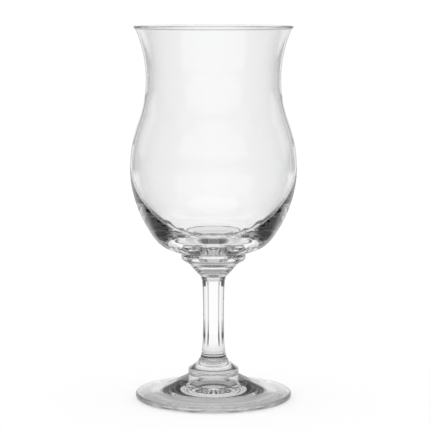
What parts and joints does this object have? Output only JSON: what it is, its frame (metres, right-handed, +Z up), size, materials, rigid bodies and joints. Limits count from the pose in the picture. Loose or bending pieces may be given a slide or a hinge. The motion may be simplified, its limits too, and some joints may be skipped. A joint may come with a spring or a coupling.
{
  "type": "hurricane glass",
  "caption": "Clear footed cocktail glass: a tulip bowl with a flared rim and drawn-in waist, on a short stem with a collar at each end and a round swept foot.",
  "frame": {"origin": "on the table plane, at the middle of the foot", "axes": "+Z up along the axis of the glass, towards the rim; +X and +Y are any two square directions across it"},
  "size_m": [0.0826, 0.0826, 0.185],
  "materials": {
    "clear_glass": "polished"
  },
  "bodies": {
    "root": {"foot": "clear_glass", "lower_collar": "clear_glass", "stem": "clear_glass", "upper_collar": "clear_glass", "bowl": "clear_glass"}
  },
  "joints": []
}
